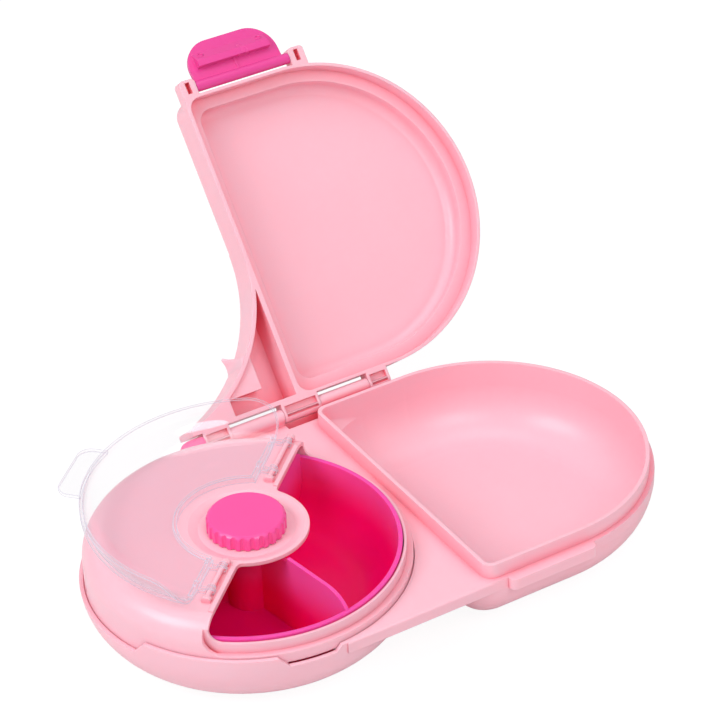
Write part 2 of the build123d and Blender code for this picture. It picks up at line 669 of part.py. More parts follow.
# Spinner cover: a shallow dome with a hub, an opening over one half and the flap's hinge pins
with BuildPart() as spinner_cover:
    with BuildSketch(Plane.XZ):
        with BuildLine():
            Polyline((0, dome_z), (0, cover_foot_z), (cover_r, cover_foot_z), (cover_r, shoulder_z))
            RadiusArc((cover_r, shoulder_z), (cover_r - dome_round, dome_z), -dome_round)
            Line((cover_r - dome_round, dome_z), (0, dome_z))
        make_face()
    revolve(axis=Axis.Z)
    with BuildSketch(Plane.XZ):
        with BuildLine():
            Polyline((0, hub_under_z), (0, cover_foot_z), (cover_r - cover_t, cover_foot_z),
                     (cover_r - cover_t, shoulder_z))
            RadiusArc((cover_r - cover_t, shoulder_z), (cover_r - dome_round, dome_z - cover_t),
                      -(dome_round - cover_t))
            Polyline((cover_r - dome_round, dome_z - cover_t), (hub_r, dome_z - cover_t),
                     (dish_r - dish_slope_w, hub_under_z), (0, hub_under_z))
        make_face()
    revolve(axis=Axis.Z, mode=Mode.SUBTRACT)
    # Ledge, lip and end webs along the opening, then the opening itself
    with BuildSketch(flap_plane(ring_ledge_z - cover_t)):
        add(half_ring(ring_inner_r, cover_r - cover_t / 2, open_offset - bead_w - cover_t))
    extrude(amount=cover_t)
    with BuildSketch(flap_plane(ring_ledge_z - cover_t)):
        add(half_ring(ring_inner_r, ring_lip_r, open_offset - bead_w - cover_t))
    extrude(amount=deck_z + ring_top_rise - ring_ledge_z + cover_t)
    with BuildSketch(flap_plane(ring_ledge_z - cover_t)):
        add(half_ring(ring_inner_r, cover_r - cover_t / 2, open_offset - bead_w - cover_t))
        add(half_ring(ring_inner_r - cover_t, cover_r, open_offset - bead_w), mode=Mode.SUBTRACT)
    extrude(amount=deck_z + ring_web_rise - ring_ledge_z + cover_t)
    add(cover_hole.part, mode=Mode.SUBTRACT)
    add(flap_seat.part, mode=Mode.SUBTRACT)
    # Hub dish with its sloping border, and the bore
    with BuildSketch(Plane.XZ):
        Polygon((0, dish_z), (dish_r - dish_slope_w, dish_z), (dish_r, dome_z), (dish_r, dome_z + dish_depth),
                (0, dome_z + dish_depth), align=None)
    revolve(axis=Axis.Z, mode=Mode.SUBTRACT)
    with BuildSketch(Plane.XY.offset(hub_under_z)):
        Circle(stem_r + stem_clearance)
    extrude(amount=hub_t, mode=Mode.SUBTRACT)
    # Finger gap over the base's notch
    with BuildSketch(wall_plane(notch_angle, cover_r + cover_gap)):
        with Locations((0, (cover_foot_z + notch_z + notch_slit) / 2)):
            Rectangle(notch_floor_w, notch_z + notch_slit - cover_foot_z)
    extrude(amount=-(cover_gap + 2 * cover_t), mode=Mode.SUBTRACT)
    # Raised bead along the straight edge of the opening
    with BuildSketch(flap_plane(dome_z - bead_h)):
        with Locations((0, -open_offset + bead_w / 2)):
            Rectangle(2 * (cover_r - dome_round), bead_w)
        Circle(hub_r + open_corner, mode=Mode.SUBTRACT)
    extrude(amount=2 * bead_h)
    # Posts and pins for the flap, with troughs in the dome under its clips
    for along in rear_clips + front_clips:
        with BuildSketch(flap_cross_plane(along - clip_w / 2 - trough_gap)):
            with Locations((0, flap_hinge_z)):
                Circle(clip_r + trough_gap)
        extrude(amount=-(clip_w + 2 * trough_gap), mode=Mode.SUBTRACT)
    for along in rear_posts + front_posts:
        with BuildSketch(flap_cross_plane(along - post_w / 2)):
            with BuildLine():
                Polyline((-post_half_t, dome_z - post_root), (post_half_t, dome_z - post_root),
                         (post_half_t, flap_hinge_z), (post_half_t / 2, flap_hinge_z + post_head),
                         (-post_half_t / 2, flap_hinge_z + post_head), (-post_half_t, flap_hinge_z), close=True)
            make_face()
        extrude(amount=-post_w)
    for start, stop in (rear_posts, front_posts):
        with BuildSketch(flap_cross_plane(start)):
            with Locations((0, flap_hinge_z)):
                Circle(flap_pin_r)
        extrude(amount=-(stop - start))
    # Slot in the wall for prising the cover up
    with BuildSketch(wall_plane(snap_angle, cover_r + 1)):
        with Locations((0, deck_z - snap_slot_h / 2)):
            Rectangle(snap_w, snap_slot_h)
    extrude(amount=-(1 + snap_slot_depth), mode=Mode.SUBTRACT)
spinner_cover.part.label = "spinner_cover"
export_step(spinner_cover.part, "parts/spinner_cover.step")

# Clear flap, drawn closed over the opening and then turned right over
shoulder_mid_r = flap_r - flap_shoulder_w
shoulder_mid_z = flap_top_z - flap_shoulder_h
with BuildPart() as clear_flap:
    with BuildSketch(Plane.XZ):
        with BuildLine():
            Polyline((0, flap_top_z), (0, flap_rim_z), (flap_r, flap_rim_z), (flap_r, shoulder_mid_z))
            EllipticalCenterArc((shoulder_mid_r, shoulder_mid_z), flap_shoulder_w, flap_shoulder_h, 0,
                                arc_size=90)
            Line((shoulder_mid_r, flap_top_z), (0, flap_top_z))
        make_face()
    revolve(axis=Axis.Z)
    with BuildSketch(Plane.XZ):
        with BuildLine():
            Polyline((0, flap_under_z), (0, flap_rim_z), (flap_r - flap_t, flap_rim_z),
                     (flap_r - flap_t, shoulder_mid_z))
            EllipticalCenterArc((shoulder_mid_r, shoulder_mid_z), flap_shoulder_w - flap_t,
                                flap_shoulder_h - flap_t, 0, arc_size=90)
            Line((shoulder_mid_r, flap_under_z), (0, flap_under_z))
        make_face()
    revolve(axis=Axis.Z, mode=Mode.SUBTRACT)
    # Finger tab
    with BuildSketch(flap_plane(deck_z + tab_rise - tab_t)) as tab:
        with Locations((0, -(flap_r + tab_reach) / 2)):
            Rectangle(2 * tab_half_w, flap_r + tab_reach)
        fillet(tab.vertices().group_by(Axis.Y)[0], tab_round)
        Circle(flap_r - flap_t / 2, mode=Mode.SUBTRACT)
    extrude(amount=tab_t)
    # Stiffening rib along the straight edge and round the hub
    with BuildSketch(flap_plane(flap_under_z - flap_rib_h)):
        with Locations((0, -flap_edge - flap_rib_inset - flap_rib_t / 2)):
            Rectangle(2 * flap_rib_r, flap_rib_t)
        add(half_ring(flap_notch_r, flap_notch_r + flap_rib_t, flap_edge + flap_rib_inset))
    extrude(amount=flap_rib_h + flap_t / 2)
    with BuildSketch(flap_plane(deck_z)):
        Circle(flap_notch_r)
    extrude(amount=flap_top_z, mode=Mode.SUBTRACT)
    # Straight edge, with the lower corners of the skirt rounded away
    with BuildSketch(flap_cross_plane(-2 * flap_r)):
        with BuildLine():
            Polyline((flap_edge + flap_end_round, flap_rim_z), (-2 * flap_r, flap_rim_z),
                     (-2 * flap_r, 2 * flap_top_z), (flap_edge, 2 * flap_top_z),
                     (flap_edge, flap_rim_z + flap_end_round))
            RadiusArc((flap_edge, flap_rim_z + flap_end_round), (flap_edge + flap_end_round, flap_rim_z),
                      -flap_end_round)
        make_face()
    extrude(amount=-4 * flap_r, mode=Mode.SUBTRACT)
    # Snap-on clips
    for along in rear_clips + front_clips:
        with BuildSketch(flap_cross_plane(along - clip_w / 2)):
            with Locations((0, flap_hinge_z)):
                Circle(clip_r)
            with Locations(((flap_edge + flap_rib_inset) / 2, (flap_top_z + flap_under_z) / 2)):
                Rectangle(flap_edge + flap_rib_inset, flap_t)
            with Locations((flap_edge + flap_rib_inset + flap_rib_t / 2, flap_top_z - clip_root / 2)):
                Rectangle(flap_rib_t, clip_root)
            with Locations((0, flap_hinge_z)):
                Circle(flap_pin_r + flap_pin_clearance, mode=Mode.SUBTRACT)
            with Locations((-clip_r, flap_hinge_z)):
                Rectangle(2 * clip_r, clip_mouth, mode=Mode.SUBTRACT)
        extrude(amount=-clip_w)
clear_flap.part = clear_flap.part.rotate(flap_axis, -180)
clear_flap.part.label = "clear_flap"
export_step(clear_flap.part, "parts/clear_flap.step")

# Divided tray that turns in the round bowl
tray_arc_r = tray_r - tray_flare - tray_round
tray_arc_z = tray_floor_z + tray_round
with BuildPart() as spinner_tray:
    with BuildSketch(Plane.XZ):
        with BuildLine():
            Polyline((0, tray_floor_z + tray_t), (0, tray_floor_z), (tray_arc_r, tray_floor_z))
            RadiusArc((tray_arc_r, tray_floor_z), (tray_arc_r + tray_round, tray_arc_z), -tray_round)
            Polyline((tray_arc_r + tray_round, tray_arc_z), (tray_r, tray_rim_z),
                     (tray_r - tray_t, tray_rim_z), (tray_arc_r + tray_round - tray_t, tray_arc_z))
            RadiusArc((tray_arc_r + tray_round - tray_t, tray_arc_z), (tray_arc_r, tray_floor_z + tray_t),
                      tray_round - tray_t)
            Line((tray_arc_r, tray_floor_z + tray_t), (0, tray_floor_z + tray_t))
        make_face()
    revolve(axis=Axis.Z)
    with BuildSketch(Plane.XY.offset(tray_floor_z)):
        Circle(tray_hub_r)
    extrude(amount=tray_hub_z - tray_floor_z)
    for index in range(divider_count):
        with BuildSketch(radial_plane(divider_angle + index * 360 / divider_count)):
            with BuildLine():
                Polyline((tray_hub_r - divider_t, tray_floor_z + tray_t / 2), (tray_arc_r, tray_floor_z + tray_t / 2))
                RadiusArc((tray_arc_r, tray_floor_z + tray_t / 2),
                          (tray_arc_r + tray_round - tray_t / 2, tray_arc_z), -(tray_round - tray_t / 2))
                Line((tray_arc_r + tray_round - tray_t / 2, tray_arc_z), (tray_r - tray_t / 2, tray_rim_z - 0.3))
                Spline((tray_r - tray_t / 2, tray_rim_z - 0.3), (divider_flat_r, divider_z),
                       tangents=((-0.5, 0.85), (-1, 0)))
                Polyline((divider_flat_r, divider_z), (hub_r + divider_hub_gap, divider_z),
                         (hub_r + divider_hub_gap, hub_under_z - divider_hub_gap),
                         (tray_hub_r, hub_under_z - divider_hub_gap), (tray_hub_r, tray_hub_z),
                         (tray_hub_r - divider_t, tray_hub_z),
                         (tray_hub_r - divider_t, tray_floor_z + tray_t / 2))
            make_face()
        extrude(amount=divider_t / 2, both=True)
    # Socket for the drive above, bore for the pivot below
    with BuildSketch(Plane.XY.offset(driver_foot_z - driver_gap)):
        RegularPolygon(driver_hex + hex_clearance, 6)
    extrude(amount=tray_hub_z - driver_foot_z + driver_gap, mode=Mode.SUBTRACT)
    with BuildSketch(Plane.XY.offset(tray_floor_z)):
        Circle(pivot_r + pivot_clearance)
    extrude(amount=wall + pivot_h + driver_gap - tray_floor_z, mode=Mode.SUBTRACT)
spinner_tray.part.label = "spinner_tray"
export_step(spinner_tray.part, "parts/spinner_tray.step")

# Drive under the cover: a disc that carries the hexagon which turns the tray
with BuildPart() as knob_driver:
    with BuildSketch(Plane.XY.offset(driver_z - driver_t)):
        Circle(driver_r)
    extrude(amount=driver_t)
    with BuildSketch(Plane.XY.offset(driver_foot_z)):
        RegularPolygon(driver_hex, 6)
    extrude(amount=driver_l)
    with BuildSketch(Plane.XY.offset(driver_z - key_l)):
        Circle(key_r + stem_clearance)
        with Locations((0, key_flat + stem_clearance + key_r / 2)):
            Rectangle(2 * key_r, key_r, mode=Mode.SUBTRACT)
    extrude(amount=key_l, mode=Mode.SUBTRACT)
    with BuildSketch(Plane.XY.offset(driver_foot_z)):
        Circle(screw_r + screw_clearance)
    extrude(amount=driver_l, mode=Mode.SUBTRACT)
    with BuildSketch(Plane.XY.offset(driver_foot_z)):
        Circle(screw_head_r + screw_clearance)
    extrude(amount=screw_recess + screw_head_h, mode=Mode.SUBTRACT)
knob_driver.part.label = "knob_driver"
export_step(knob_driver.part, "parts/knob_driver.step")

# Screw that holds the drive to the knob
screw_seat_z = driver_foot_z + screw_recess + screw_head_h
with BuildPart() as driver_screw:
    with BuildSketch(Plane.XY.offset(screw_seat_z - screw_head_h)):
        Circle(screw_head_r)
    extrude(amount=screw_head_h)
    fillet(driver_screw.edges().group_by(Axis.Z)[0], screw_head_h / 4)
    with BuildSketch(Plane.XY.offset(screw_seat_z)):
        Circle(screw_r)
    extrude(amount=screw_l)
    with BuildSketch(Plane.XY.offset(screw_seat_z - screw_head_h)):
        Rectangle(screw_r / 2, screw_head_r)
        Rectangle(screw_head_r, screw_r / 2)
    extrude(amount=screw_head_h / 2, mode=Mode.SUBTRACT)
driver_screw.part.label = "driver_screw"
export_step(driver_screw.part, "parts/driver_screw.step")

# Knob: fluted rim, slightly domed bare top, stem through the cover and a flatted key
seal_z = knob_under_z + seal_section - seal_squash
with BuildPart() as spinner_knob:
    with BuildSketch(Plane.XY.offset(knob_under_z)):
        Circle(knob_r)
        with PolarLocations(knob_r + flute_r / 3, flute_count):
            Circle(flute_r, mode=Mode.SUBTRACT)
    extrude(amount=knob_z - knob_under_z)
    with BuildSketch(Plane.XZ):
        with BuildLine():
            Polyline((0, knob_z + 1), (knob_r + 1, knob_z + 1), (knob_r + 1, knob_z - 2 * knob_edge),
                     (knob_r, knob_z - 2 * knob_edge))
            Spline((knob_r, knob_z - 2 * knob_edge), (knob_r - knob_edge, knob_z - knob_edge / 3), (0, knob_z),
                   tangents=((0, 1), (-1, 0)))
            Line((0, knob_z), (0, knob_z + 1))
        make_face()
    revolve(axis=Axis.Z, mode=Mode.SUBTRACT)
    with BuildSketch(Plane.XY.offset(driver_z)):
        Circle(stem_r)
    extrude(amount=knob_under_z - driver_z + knob_gap)
    with BuildSketch(Plane.XY.offset(driver_z - key_l + stem_clearance)):
        Circle(key_r)
        with Locations((0, key_flat + key_r / 2)):
            Rectangle(2 * key_r, key_r, mode=Mode.SUBTRACT)
    extrude(amount=key_l)
    with BuildSketch(Plane.XY.offset(driver_z - key_l)):
        Circle(screw_r + screw_clearance)
    extrude(amount=screw_seat_z + screw_l + screw_clearance - driver_z + key_l, mode=Mode.SUBTRACT)
    with BuildSketch(Plane.XY.offset(knob_under_z)):
        Circle(seal_r + seal_section + stem_clearance)
        Circle(seal_r - seal_section - stem_clearance, mode=Mode.SUBTRACT)
    extrude(amount=seal_z + seal_section + stem_clearance - knob_under_z, mode=Mode.SUBTRACT)
spinner_knob.part.label = "spinner_knob"
export_step(spinner_knob.part, "parts/spinner_knob.step")

# Soft ring that keeps crumbs out of the knob's bore
with BuildPart() as knob_seal_ring:
    with BuildSketch(Plane.XZ):
        with Locations((seal_r, seal_z)):
            Circle(seal_section)
    revolve(axis=Axis.Z)
knob_seal_ring.part.label = "knob_seal_ring"
export_step(knob_seal_ring.part, "parts/knob_seal_ring.step")
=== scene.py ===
"""Dressing for the bento box: materials, camera, light and the small moulded details."""

import math

import bmesh
import bpy
from mathutils import Matrix, Vector


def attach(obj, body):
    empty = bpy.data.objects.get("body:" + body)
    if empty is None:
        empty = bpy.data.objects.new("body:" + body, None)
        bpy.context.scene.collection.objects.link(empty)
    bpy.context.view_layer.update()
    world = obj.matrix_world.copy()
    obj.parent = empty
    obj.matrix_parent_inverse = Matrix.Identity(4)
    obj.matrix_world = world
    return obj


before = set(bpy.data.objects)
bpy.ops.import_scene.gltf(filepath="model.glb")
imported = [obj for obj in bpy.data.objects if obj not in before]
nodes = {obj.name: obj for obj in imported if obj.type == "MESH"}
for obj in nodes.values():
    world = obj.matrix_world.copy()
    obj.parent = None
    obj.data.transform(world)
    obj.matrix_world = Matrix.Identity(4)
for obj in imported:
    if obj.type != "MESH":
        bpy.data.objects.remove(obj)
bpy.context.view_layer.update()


# Materials

# Noise scales, per metre
DRIFT_SCALE = 14.0
GLOSS_SCALE = 60.0
GRAIN_SCALE = 2200.0
RIPPLE_SCALE = 90.0
EDGE_LIGHT_SCALE = 20.0
STREAK_SCALE = (60.0, 2500.0, 2500.0)
# Strength and depth of the surface noise, the depth in metres
GRAIN = (0.05, 0.00004)
RIPPLE = (0.12, 0.0002)
# How far the gloss wanders to either side
GLOSS_SPREAD = 0.05
STREAK_SPREAD = 0.08
BEVEL_SAMPLES = 6
SHADE_SAMPLES = 8
# Openness at which a corner has its full painted shade, and at which it has none
SHADE_SPAN = (0.15, 0.85)
PLASTIC_IOR = 1.49
COAT_ROUGHNESS = 0.12

CLEAR_COLOR = (0.988, 0.984, 0.99, 1)
CLEAR_ROUGHNESS = 0.06
CLEAR_EDGE = 0.0009
# Cosines at which the painted edge light starts and is full, and its full share
EDGE_TURN = (0.99, 0.86)
EDGE_LIGHT_SHARE = 0.92
STEEP_POWER = 5.0
STEEP_SHINE = (0.04, 0.7)
STEEP_LIGHT_SHARE = 0.6
# Pale grey-violet colours of the painted edge light
EDGE_LIGHT_DARK = (0.62, 0.58, 0.72, 1)
EDGE_LIGHT_PALE = (0.78, 0.76, 0.84, 1)
WHITE = (1, 1, 1, 1)


def srgb(r, g, b):
    """Colour given as 0-255 screen values, turned into scene-linear RGBA."""
    out = []
    for c in (r, g, b):
        c /= 255.0
        out.append(c / 12.92 if c <= 0.04045 else ((c + 0.055) / 1.055) ** 2.4)
    return (*out, 1.0)


def surface(name):
    """Empty material with its node tree and output."""
    mat = bpy.data.materials.new(name)
    mat.use_nodes = True
    tree = mat.node_tree
    tree.nodes.clear()
    return mat, tree, tree.nodes.new("ShaderNodeOutputMaterial")


def plastic(name, color, deep, rough, subsurface=0.0, soak_depth=(0.0, 0.0, 0.0), edge=0.00035, coat=0.0,
            glow=None, painted_shade=None, specular=0.5):
    """Moulded plastic: faint flow-like colour drift, uneven gloss, fine grain and softened edges.

    glow is (low Z, high Z, colour): painted light, a lighter colour towards the top between the two heights, in
    place of the light a translucent plastic takes in near its rim and the rim's highlights.
    Painted shade is given as (reach, colour): a deeper colour in corners and slots, in place of the dimmer light
    that reaches them only through the walls."""
    mat, tree, out = surface(name)
    bsdf = tree.nodes.new("ShaderNodeBsdfPrincipled")
    tree.links.new(bsdf.outputs["BSDF"], out.inputs["Surface"])
    coord = tree.nodes.new("ShaderNodeTexCoord")

    drift = tree.nodes.new("ShaderNodeTexNoise")
    drift.inputs["Scale"].default_value = DRIFT_SCALE
    drift.inputs["Detail"].default_value = 3.0
    tree.links.new(coord.outputs["Object"], drift.inputs["Vector"])
    ramp = tree.nodes.new("ShaderNodeValToRGB")
    ramp.color_ramp.elements[0].position = 0.25
    ramp.color_ramp.elements[0].color = deep
    ramp.color_ramp.elements[1].position = 0.75
    ramp.color_ramp.elements[1].color = color
    tree.links.new(drift.outputs["Fac"], ramp.inputs["Fac"])
    tint = ramp.outputs["Color"]
    # Painted light: the colour grows lighter with height, up to the glow colour at the rim
    if glow:
        parts = tree.nodes.new("ShaderNodeSeparateXYZ")
        tree.links.new(coord.outputs["Object"], parts.inputs["Vector"])
        height = tree.nodes.new("ShaderNodeMapRange")
        height.interpolation_type = "SMOOTHSTEP"
        height.inputs["From Min"].default_value = glow[0]
        height.inputs["From Max"].default_value = glow[1]
        tree.links.new(parts.outputs["Z"], height.inputs["Value"])
        painted_light_mix = tree.nodes.new("ShaderNodeMix")
        painted_light_mix.data_type = "RGBA"
        tree.links.new(height.outputs["Result"], painted_light_mix.inputs[0])
        tree.links.new(tint, painted_light_mix.inputs[6])
        painted_light_mix.inputs[7].default_value = glow[2]
        tint = painted_light_mix.outputs[2]
    # Painted shade: the colour turns a deeper pink where the surface is enclosed, in corners and slots
    if painted_shade:
        corner = tree.nodes.new("ShaderNodeAmbientOcclusion")
        corner.samples = SHADE_SAMPLES
        corner.only_local = True
        corner.inputs["Distance"].default_value = painted_shade[0]
        fill = tree.nodes.new("ShaderNodeMapRange")
        fill.inputs["From Min"].default_value = SHADE_SPAN[0]
        fill.inputs["From Max"].default_value = SHADE_SPAN[1]
        tree.links.new(corner.outputs["AO"], fill.inputs["Value"])
        shade_mix = tree.nodes.new("ShaderNodeMix")
        shade_mix.data_type = "RGBA"
        tree.links.new(fill.outputs["Result"], shade_mix.inputs[0])
        shade_mix.inputs[6].default_value = painted_shade[1]
        tree.links.new(tint, shade_mix.inputs[7])
        tint = shade_mix.outputs[2]
    tree.links.new(tint, bsdf.inputs["Base Color"])

    gloss = tree.nodes.new("ShaderNodeTexNoise")
    gloss.inputs["Scale"].default_value = GLOSS_SCALE
    gloss.inputs["Detail"].default_value = 4.0
    tree.links.new(coord.outputs["Object"], gloss.inputs["Vector"])
    span = tree.nodes.new("ShaderNodeMapRange")
    span.inputs["To Min"].default_value = rough - GLOSS_SPREAD
    span.inputs["To Max"].default_value = rough + GLOSS_SPREAD
    tree.links.new(gloss.outputs["Fac"], span.inputs["Value"])
    tree.links.new(span.outputs["Result"], bsdf.inputs["Roughness"])

    fine = tree.nodes.new("ShaderNodeTexNoise")
    fine.inputs["Scale"].default_value = GRAIN_SCALE
    fine.inputs["Detail"].default_value = 2.0
    tree.links.new(coord.outputs["Object"], fine.inputs["Vector"])
    bump = tree.nodes.new("ShaderNodeBump")
    bump.inputs["Strength"].default_value = GRAIN[0]
    bump.inputs["Distance"].default_value = GRAIN[1]
    tree.links.new(fine.outputs["Fac"], bump.inputs["Height"])
    bevel = tree.nodes.new("ShaderNodeBevel")
    bevel.samples = BEVEL_SAMPLES
    bevel.inputs["Radius"].default_value = edge
    tree.links.new(bevel.outputs["Normal"], bump.inputs["Normal"])
    tree.links.new(bump.outputs["Normal"], bsdf.inputs["Normal"])

    bsdf.inputs["IOR"].default_value = PLASTIC_IOR
    bsdf.inputs["Specular IOR Level"].default_value = specular
    if subsurface:
        bsdf.inputs["Subsurface Weight"].default_value = subsurface
        bsdf.inputs["Subsurface Radius"].default_value = soak_depth
        bsdf.inputs["Subsurface Scale"].default_value = 1.0
    if coat:
        bsdf.inputs["Coat Weight"].default_value = coat
        bsdf.inputs["Coat Roughness"].default_value = COAT_ROUGHNESS
    return mat


def clear_plastic(name):
    """Clear moulded plastic: see-through face on, with painted light, a pale faintly violet diffuse, along its
    edges and where it is seen edge on.
    """
    mat, tree, out = surface(name)
    coord = tree.nodes.new("ShaderNodeTexCoord")
    ripple = tree.nodes.new("ShaderNodeTexNoise")
    ripple.inputs["Scale"].default_value = RIPPLE_SCALE
    tree.links.new(coord.outputs["Object"], ripple.inputs["Vector"])
    bump = tree.nodes.new("ShaderNodeBump")
    bump.inputs["Strength"].default_value = RIPPLE[0]
    bump.inputs["Distance"].default_value = RIPPLE[1]
    tree.links.new(ripple.outputs["Fac"], bump.inputs["Height"])

    through = tree.nodes.new("ShaderNodeBsdfTransparent")
    through.inputs["Color"].default_value = CLEAR_COLOR
    shine = tree.nodes.new("ShaderNodeBsdfGlossy")
    shine.inputs["Color"].default_value = WHITE
    shine.inputs["Roughness"].default_value = CLEAR_ROUGHNESS
    tree.links.new(bump.outputs["Normal"], shine.inputs["Normal"])
    facing = tree.nodes.new("ShaderNodeLayerWeight")
    facing.inputs["Blend"].default_value = 0.5
    # Share of painted light along the edges, a pale diffuse in place of the light the real plastic gathers there
    plain = tree.nodes.new("ShaderNodeNewGeometry")
    round_off = tree.nodes.new("ShaderNodeBevel")
    round_off.samples = BEVEL_SAMPLES
    round_off.inputs["Radius"].default_value = CLEAR_EDGE
    along = tree.nodes.new("ShaderNodeVectorMath")
    along.operation = "DOT_PRODUCT"
    tree.links.new(plain.outputs["Normal"], along.inputs[0])
    tree.links.new(round_off.outputs["Normal"], along.inputs[1])
    edges = tree.nodes.new("ShaderNodeMapRange")
    edges.inputs["From Min"].default_value = EDGE_TURN[0]
    edges.inputs["From Max"].default_value = EDGE_TURN[1]
    edges.inputs["To Min"].default_value = 0.0
    edges.inputs["To Max"].default_value = EDGE_LIGHT_SHARE
    tree.links.new(along.outputs["Value"], edges.inputs["Value"])
    steep = tree.nodes.new("ShaderNodeMath")
    steep.operation = "POWER"
    steep.inputs[1].default_value = STEEP_POWER
    tree.links.new(facing.outputs["Facing"], steep.inputs[0])
    glance = tree.nodes.new("ShaderNodeMapRange")
    glance.inputs["To Min"].default_value = STEEP_SHINE[0]
    glance.inputs["To Max"].default_value = STEEP_SHINE[1]
    tree.links.new(steep.outputs[0], glance.inputs["Value"])
    glass = tree.nodes.new("ShaderNodeMixShader")
    tree.links.new(glance.outputs["Result"], glass.inputs["Fac"])
    tree.links.new(through.outputs[0], glass.inputs[1])
    tree.links.new(shine.outputs[0], glass.inputs[2])

    # Painted highlight: a pale grey-violet diffuse, mixed in along the edges and where the plastic is seen edge
    # on, stands in for the light the clear plastic carries to its edges
    edge_light = tree.nodes.new("ShaderNodeBsdfDiffuse")
    tint = tree.nodes.new("ShaderNodeTexNoise")
    tint.inputs["Scale"].default_value = EDGE_LIGHT_SCALE
    tree.links.new(coord.outputs["Object"], tint.inputs["Vector"])
    ramp = tree.nodes.new("ShaderNodeValToRGB")
    ramp.color_ramp.elements[0].color = EDGE_LIGHT_DARK
    ramp.color_ramp.elements[1].color = EDGE_LIGHT_PALE
    tree.links.new(tint.outputs["Fac"], ramp.inputs["Fac"])
    tree.links.new(ramp.outputs["Color"], edge_light.inputs["Color"])
    amount = tree.nodes.new("ShaderNodeMapRange")
    amount.inputs["To Min"].default_value = 0.0
    amount.inputs["To Max"].default_value = STEEP_LIGHT_SHARE
    tree.links.new(steep.outputs[0], amount.inputs["Value"])
    both = tree.nodes.new("ShaderNodeMath")
    both.operation = "MAXIMUM"
    tree.links.new(amount.outputs["Result"], both.inputs[0])
    tree.links.new(edges.outputs["Result"], both.inputs[1])
    whole = tree.nodes.new("ShaderNodeMixShader")
    tree.links.new(both.outputs[0], whole.inputs["Fac"])
    tree.links.new(glass.outputs[0], whole.inputs[1])
    tree.links.new(edge_light.outputs[0], whole.inputs[2])
    tree.links.new(whole.outputs[0], out.inputs["Surface"])
    return mat


def metal(name, color, rough):
    """Drawn steel with fine streaks along X."""
    mat, tree, out = surface(name)
    bsdf = tree.nodes.new("ShaderNodeBsdfPrincipled")
    tree.links.new(bsdf.outputs["BSDF"], out.inputs["Surface"])
    coord = tree.nodes.new("ShaderNodeTexCoord")
    stretch = tree.nodes.new("ShaderNodeMapping")
    stretch.inputs["Scale"].default_value = STREAK_SCALE
    tree.links.new(coord.outputs["Object"], stretch.inputs["Vector"])
    streak = tree.nodes.new("ShaderNodeTexNoise")
    streak.inputs["Scale"].default_value = 1.0
    tree.links.new(stretch.outputs["Vector"], streak.inputs["Vector"])
    span = tree.nodes.new("ShaderNodeMapRange")
    span.inputs["To Min"].default_value = rough - STREAK_SPREAD
    span.inputs["To Max"].default_value = rough + STREAK_SPREAD
    tree.links.new(streak.outputs["Fac"], span.inputs["Value"])
    tree.links.new(span.outputs["Result"], bsdf.inputs["Roughness"])
    bsdf.inputs["Base Color"].default_value = color
    bsdf.inputs["Metallic"].default_value = 1.0
    return mat


# The shell is painted a deeper pink in its corners and slots (painted shade)
SHELL = plastic("shell_pink", srgb(255, 192, 206), srgb(254, 188, 202), rough=0.32, subsurface=0.25,
                soak_depth=(0.008, 0.0025, 0.0025), edge=0.0005, painted_shade=(0.012, srgb(255, 130, 150)))
# The tray is painted lighter towards its rim (painted light)
TRAY = plastic("tray_magenta", srgb(250, 3, 106), srgb(247, 2, 98), rough=0.3, subsurface=0.35,
               soak_depth=(0.012, 0.0005, 0.0018), edge=0.0004, coat=0.05, specular=0.2,
               glow=(0.016, 0.0365, srgb(255, 80, 168)))
KNOB = plastic("knob_pink", srgb(252, 84, 163), srgb(249, 78, 158), rough=0.3, subsurface=0.08,
               soak_depth=(0.003, 0.001, 0.001), coat=0.2)
LATCH = plastic("latch_pink", srgb(234, 70, 156), srgb(230, 64, 150), rough=0.26, subsurface=0.08,
                soak_depth=(0.003, 0.001, 0.001), coat=0.3)
PIN = plastic("pin_pink", srgb(240, 40, 140), srgb(236, 34, 132), rough=0.32)
SEAL = plastic("seal_grey", srgb(214, 212, 212), srgb(206, 204, 204), rough=0.55)
CLEAR = clear_plastic("clear_plastic")
STEEL = metal("pin_steel", (0.62, 0.62, 0.64, 1), rough=0.3)

for name, mat in (
    ("base_tray", SHELL), ("lid", SHELL), ("spinner_cover", SHELL), ("lid_hinge_pin", PIN), ("latch", LATCH),
    ("latch_pin", SHELL), ("clear_flap", CLEAR), ("spinner_tray", TRAY), ("spinner_knob", KNOB),
    ("knob_driver", KNOB), ("driver_screw", STEEL), ("knob_seal_ring", SEAL),
):
    obj = nodes[name]
    obj.data.materials.clear()
    obj.data.materials.append(mat)


# Small moulded details

# The CAD's hinge axes and the angles at which the lid and the latch rest
HINGE = Vector((0.0, 0.076, 0.0305))
HINGE_OPEN = math.radians(130.4)
LATCH_AXIS = Vector((0.0, -0.0747, 0.0295))
LATCH_REST = math.radians(102.0)
# The sloping face of the latch's hook, from its foot to its peak, in the closed box
HOOK_FOOT = Vector((0.0, -0.0754, 0.0141))
HOOK_PEAK = Vector((0.0, -0.0725, 0.0183))
# The rings' place up that face, and their radius, thickness and height
RING_SHARE = 0.42
RING_R = 0.0012
RING_T = 0.0006
RING_H = 0.0005
# The arm's inner wall, the tab's place along it and how deep its root is sunk
NUB_WALL_R = 0.0704
NUB_ANGLE = math.radians(41.2)
NUB_SUNK = 0.0006
NUB_EDGE = 0.0002
# Heights, and how far the tab reaches in from the wall there, just clear of the cover's dome
NUB_LEVELS = ((0.0434, 0.0050), (0.0431, 0.0056), (0.0423, 0.0057), (0.0419, 0.0052), (0.0409, 0.0041),
              (0.0395, 0.0031), (0.0375, 0.0022), (0.0345, 0.0016), (0.0310, 0.0013), (0.0280, 0.0011),
              (0.0275, 0.0006))
